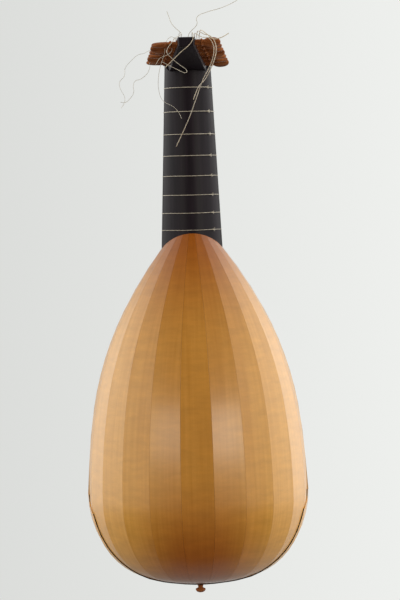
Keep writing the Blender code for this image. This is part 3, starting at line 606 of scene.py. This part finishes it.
def build_peg(index):
    """A tapered shaft, a turned collar and a flat oval head."""
    depth, z = peg_axis(index)
    side = -1 if index % 2 == 0 else 1
    half = pegbox_half(depth, z)
    turn = PEG_TURN * math.cos(PEG_TURN_STEP * (PEGS - 1 - index))
    far = -(2 * half + PEG_END_OUT)
    thin = PEG_RADIUS + far * PEG_TAPER
    profile = [(far, thin - PEG_EDGE, thin - PEG_EDGE), (far + PEG_EDGE, thin, thin)]
    profile += [tuple(value * MM for value in row) for row in PEG_PROFILE_MM]
    points = []
    for along, wide, thick in profile:
        for i in range(PEG_SIDES):
            angle = 2 * math.pi * i / PEG_SIDES
            a, b = wide * math.cos(angle), thick * math.sin(angle)
            points.append(at(side * (half + along), depth + a * math.cos(turn) - b * math.sin(turn),
                             z + a * math.sin(turn) + b * math.cos(turn)))
    ends = [tuple(range(PEG_SIDES)), tuple(range(len(points) - PEG_SIDES, len(points)))]
    faces = loft_faces(len(profile), PEG_SIDES) + ends
    peg = new_piece(f"turned_peg_{index + 1:02d}", points, faces, plumwood)
    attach(peg, f"peg_{index + 1:02d}_body")
    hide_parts(f"peg_{index + 1:02d}")


for index in range(PEGS):
    build_peg(index)


def string_places(pair, course):
    """Places across from the lowest bass to the treble, centred on the soundboard."""
    places = [0.0]
    for index in range(1, PEGS):
        places.append(places[-1] + (pair if index % 2 else course))
    middle = places[-1] / 2
    return [place - middle for place in places]


def string_of_peg(index):
    """Outer strings go to the pegs nearest the nut, and the middle ones to the tip."""
    return index // 2 if index % 2 == 0 else PEGS - 1 - index // 2


def tube(name, points, radius, made, smooth):
    """A round cord along the points, as a curve of one open spline."""
    curve = bpy.data.curves.new(name, "CURVE")
    curve.dimensions = "3D"
    curve.bevel_depth = radius
    curve.bevel_resolution = 2
    curve.use_fill_caps = True
    curve.resolution_u = 8
    if smooth:
        spline = curve.splines.new("BEZIER")
        spline.bezier_points.add(len(points) - 1)
        for knot, place in zip(spline.bezier_points, points):
            knot.co = place
            knot.handle_left_type = "AUTO"
            knot.handle_right_type = "AUTO"
    else:
        spline = curve.splines.new("POLY")
        spline.points.add(len(points) - 1)
        for knot, place in zip(spline.points, points):
            knot.co = (*place, 1.0)
    curve.materials.append(made)
    piece = bpy.data.objects.new(name, curve)
    bpy.context.scene.collection.objects.link(piece)
    return piece


def taut_run(index):
    """From behind the bridge over the nut and round the peg."""
    number = string_of_peg(index)
    radius = STRING_MM[number] * MM / 2
    bridge_x = string_places(BRIDGE_PAIR_GAP, BRIDGE_COURSE_GAP)[number]
    nut_x = string_places(PAIR_GAP, COURSE_GAP)[number]
    depth, z = peg_axis(index)
    peg_x = PEG_STRING_X_MM[index] * MM
    outward = -1 if peg_x <= 0 else 1
    near_side = peg_x if index % 2 == 0 else -peg_x
    winding = PEG_RADIUS - (pegbox_half(depth, z) + near_side) * PEG_TAPER + GAP + radius
    pitch = 3 * radius + WINDING_GAP
    high = NUT_TOP_Z + GAP + radius
    over = -NUT_PROUD - GAP - radius
    route = [at(bridge_x, -BRIDGE_STRING_HEIGHT, BRIDGE_Z - STRING_BEHIND_BRIDGE),
             at(bridge_x, -BRIDGE_STRING_HEIGHT, BRIDGE_Z + STRING_AHEAD_OF_BRIDGE),
             at(nut_x, over, NUT_Z)]
    route += [at(nut_x, over + behind, high + up) for behind, up in NUT_ROUND]
    count = round(TURNS * POINTS_PER_TURN)
    for step in range(count + 1):
        turned = TURNS * step / count
        angle = math.pi / 2 - 2 * math.pi * turned
        route.append(at(peg_x + outward * pitch * turned, depth + winding * math.cos(angle),
                        z + winding * math.sin(angle)))
    return route, radius


for index in range(PEGS):
    number = string_of_peg(index)
    made = wound if number < WOUND_STRINGS else gut
    name = f"string_{number + 1:02d}"
    route, radius = taut_run(index)
    run = tube(f"taut_{name}", route, radius, made, smooth=False)
    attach(run, "lute")
    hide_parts(name)
    if index in TAILS_MM:
        places = [route[-1]] + [at(x * MM, back * MM, up * MM) for x, back, up in TAILS_MM[index]]
        tail = tube(f"tail_{name}", places, radius, made, smooth=True)
        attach(tail, "lute")
        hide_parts(name)


# Camera, set from the photo's scale at the soundboard and its small roll.
CAMERA_DISTANCE = 2.0
CAMERA_X = -0.0086
CAMERA_DROP = 0.3105
ROLL = math.radians(1.45)
LENS_MM = 91.7

view = bpy.data.cameras.new("view")
view.lens = LENS_MM
view.sensor_width = 36.0
camera = bpy.data.objects.new("view", view)
right = Vector((-math.cos(ROLL), 0, -math.sin(ROLL)))
up = Vector((-math.sin(ROLL), 0, math.cos(ROLL)))
back = right.cross(up)
place = Vector((CAMERA_X, FRONT_Y + CAMERA_DISTANCE, NUT_Z - CAMERA_DROP))
camera.matrix_world = Matrix.Translation(place) @ Matrix((right, up, back)).transposed().to_4x4()
bpy.context.scene.collection.objects.link(camera)
bpy.context.scene.camera = camera
bpy.context.scene.view_settings.view_transform = "Standard"


# Two small warm windows beside the camera.
WINDOW_PLACE = (1.6, 2.5, 0.0)
WINDOW_AIM = (0.0, 0.0, -0.35)
WINDOW_SIZE = (0.6, 0.7)
WARM = (1.0, 0.95, 0.82)


def build_window(name, side, power):
    """An area light aimed at the middle of the body."""
    lamp = bpy.data.lights.new(name, "AREA")
    lamp.shape = "RECTANGLE"
    lamp.size, lamp.size_y = WINDOW_SIZE
    lamp.energy = power
    lamp.color = WARM
    x, y, z = WINDOW_PLACE
    place = Vector((side * x, y, z))
    window = bpy.data.objects.new(name, lamp)
    window.location = place
    window.rotation_euler = (Vector(WINDOW_AIM) - place).to_track_quat("-Z", "Y").to_euler()
    bpy.context.scene.collection.objects.link(window)


build_window("left_window", 1, 11.0)
build_window("right_window", -1, 16.0)

# The room is pale behind the object, bright at both sides, and dim behind the camera and below.
ROOM_COLOUR = (0.985, 1.0, 0.975, 1.0)
SIDE_POWER = 3.8
SIDE_STOPS = ((0.0, 0.52), (0.12, 0.52), (0.30, 0.0), (0.72, 0.0), (0.90, 0.50), (1.0, 0.62))
SIDE_HEIGHT_STOPS = ((0.0, 0.0), (0.34, 0.03), (0.50, 0.80), (0.62, 1.0), (0.80, 0.7), (1.0, 0.35))
BACKDROP_STOPS = ((0.0, 1.0), (0.42, 1.0), (0.60, 0.20), (1.0, 0.20))
BACKDROP_GROUND_STOPS = ((0.0, 0.55), (0.22, 0.50), (0.38, 1.0), (1.0, 1.0))
BACKDROP_SLOPE_STOPS = ((0.0, 0.91), (1.0, 0.68))
BACKDROP_SLOPE_REACH = 0.3


def ramp_of(tree, value, stops, reach=1.0):
    """Brightness by stops of (place, value), with the places spread from -reach to reach."""
    ramp = tree.nodes.new("ShaderNodeValToRGB")
    ramp.color_ramp.interpolation = "EASE"
    for element, (place, level) in zip(ramp.color_ramp.elements, (stops[0], stops[-1])):
        element.position = place
        element.color = (level, level, level, 1.0)
    for place, level in stops[1:-1]:
        ramp.color_ramp.elements.new(place).color = (level, level, level, 1.0)
    tree.links.new(fitted(tree, value, (-reach, reach)), ramp.inputs["Fac"])
    return ramp.outputs["Color"]


world = bpy.data.worlds.new("studio")
world.use_nodes = True
tree = world.node_tree
way = axes_of(tree, "ShaderNodeTexCoord", "Generated")
sides = ramp_of(tree, way["X"], SIDE_STOPS)
sides = combined(tree, "MULTIPLY", sides, ramp_of(tree, way["Z"], SIDE_HEIGHT_STOPS))
slope = ramp_of(tree, way["X"], BACKDROP_SLOPE_STOPS, BACKDROP_SLOPE_REACH)
backdrop = combined(tree, "MULTIPLY", ramp_of(tree, way["Y"], BACKDROP_STOPS), slope)
backdrop = combined(tree, "MULTIPLY", backdrop, ramp_of(tree, way["Z"], BACKDROP_GROUND_STOPS))
strength = combined(tree, "ADD", combined(tree, "MULTIPLY", sides, SIDE_POWER), backdrop)
tree.nodes["Background"].inputs["Color"].default_value = ROOM_COLOUR
tree.links.new(strength, tree.nodes["Background"].inputs["Strength"])
bpy.context.scene.world = world
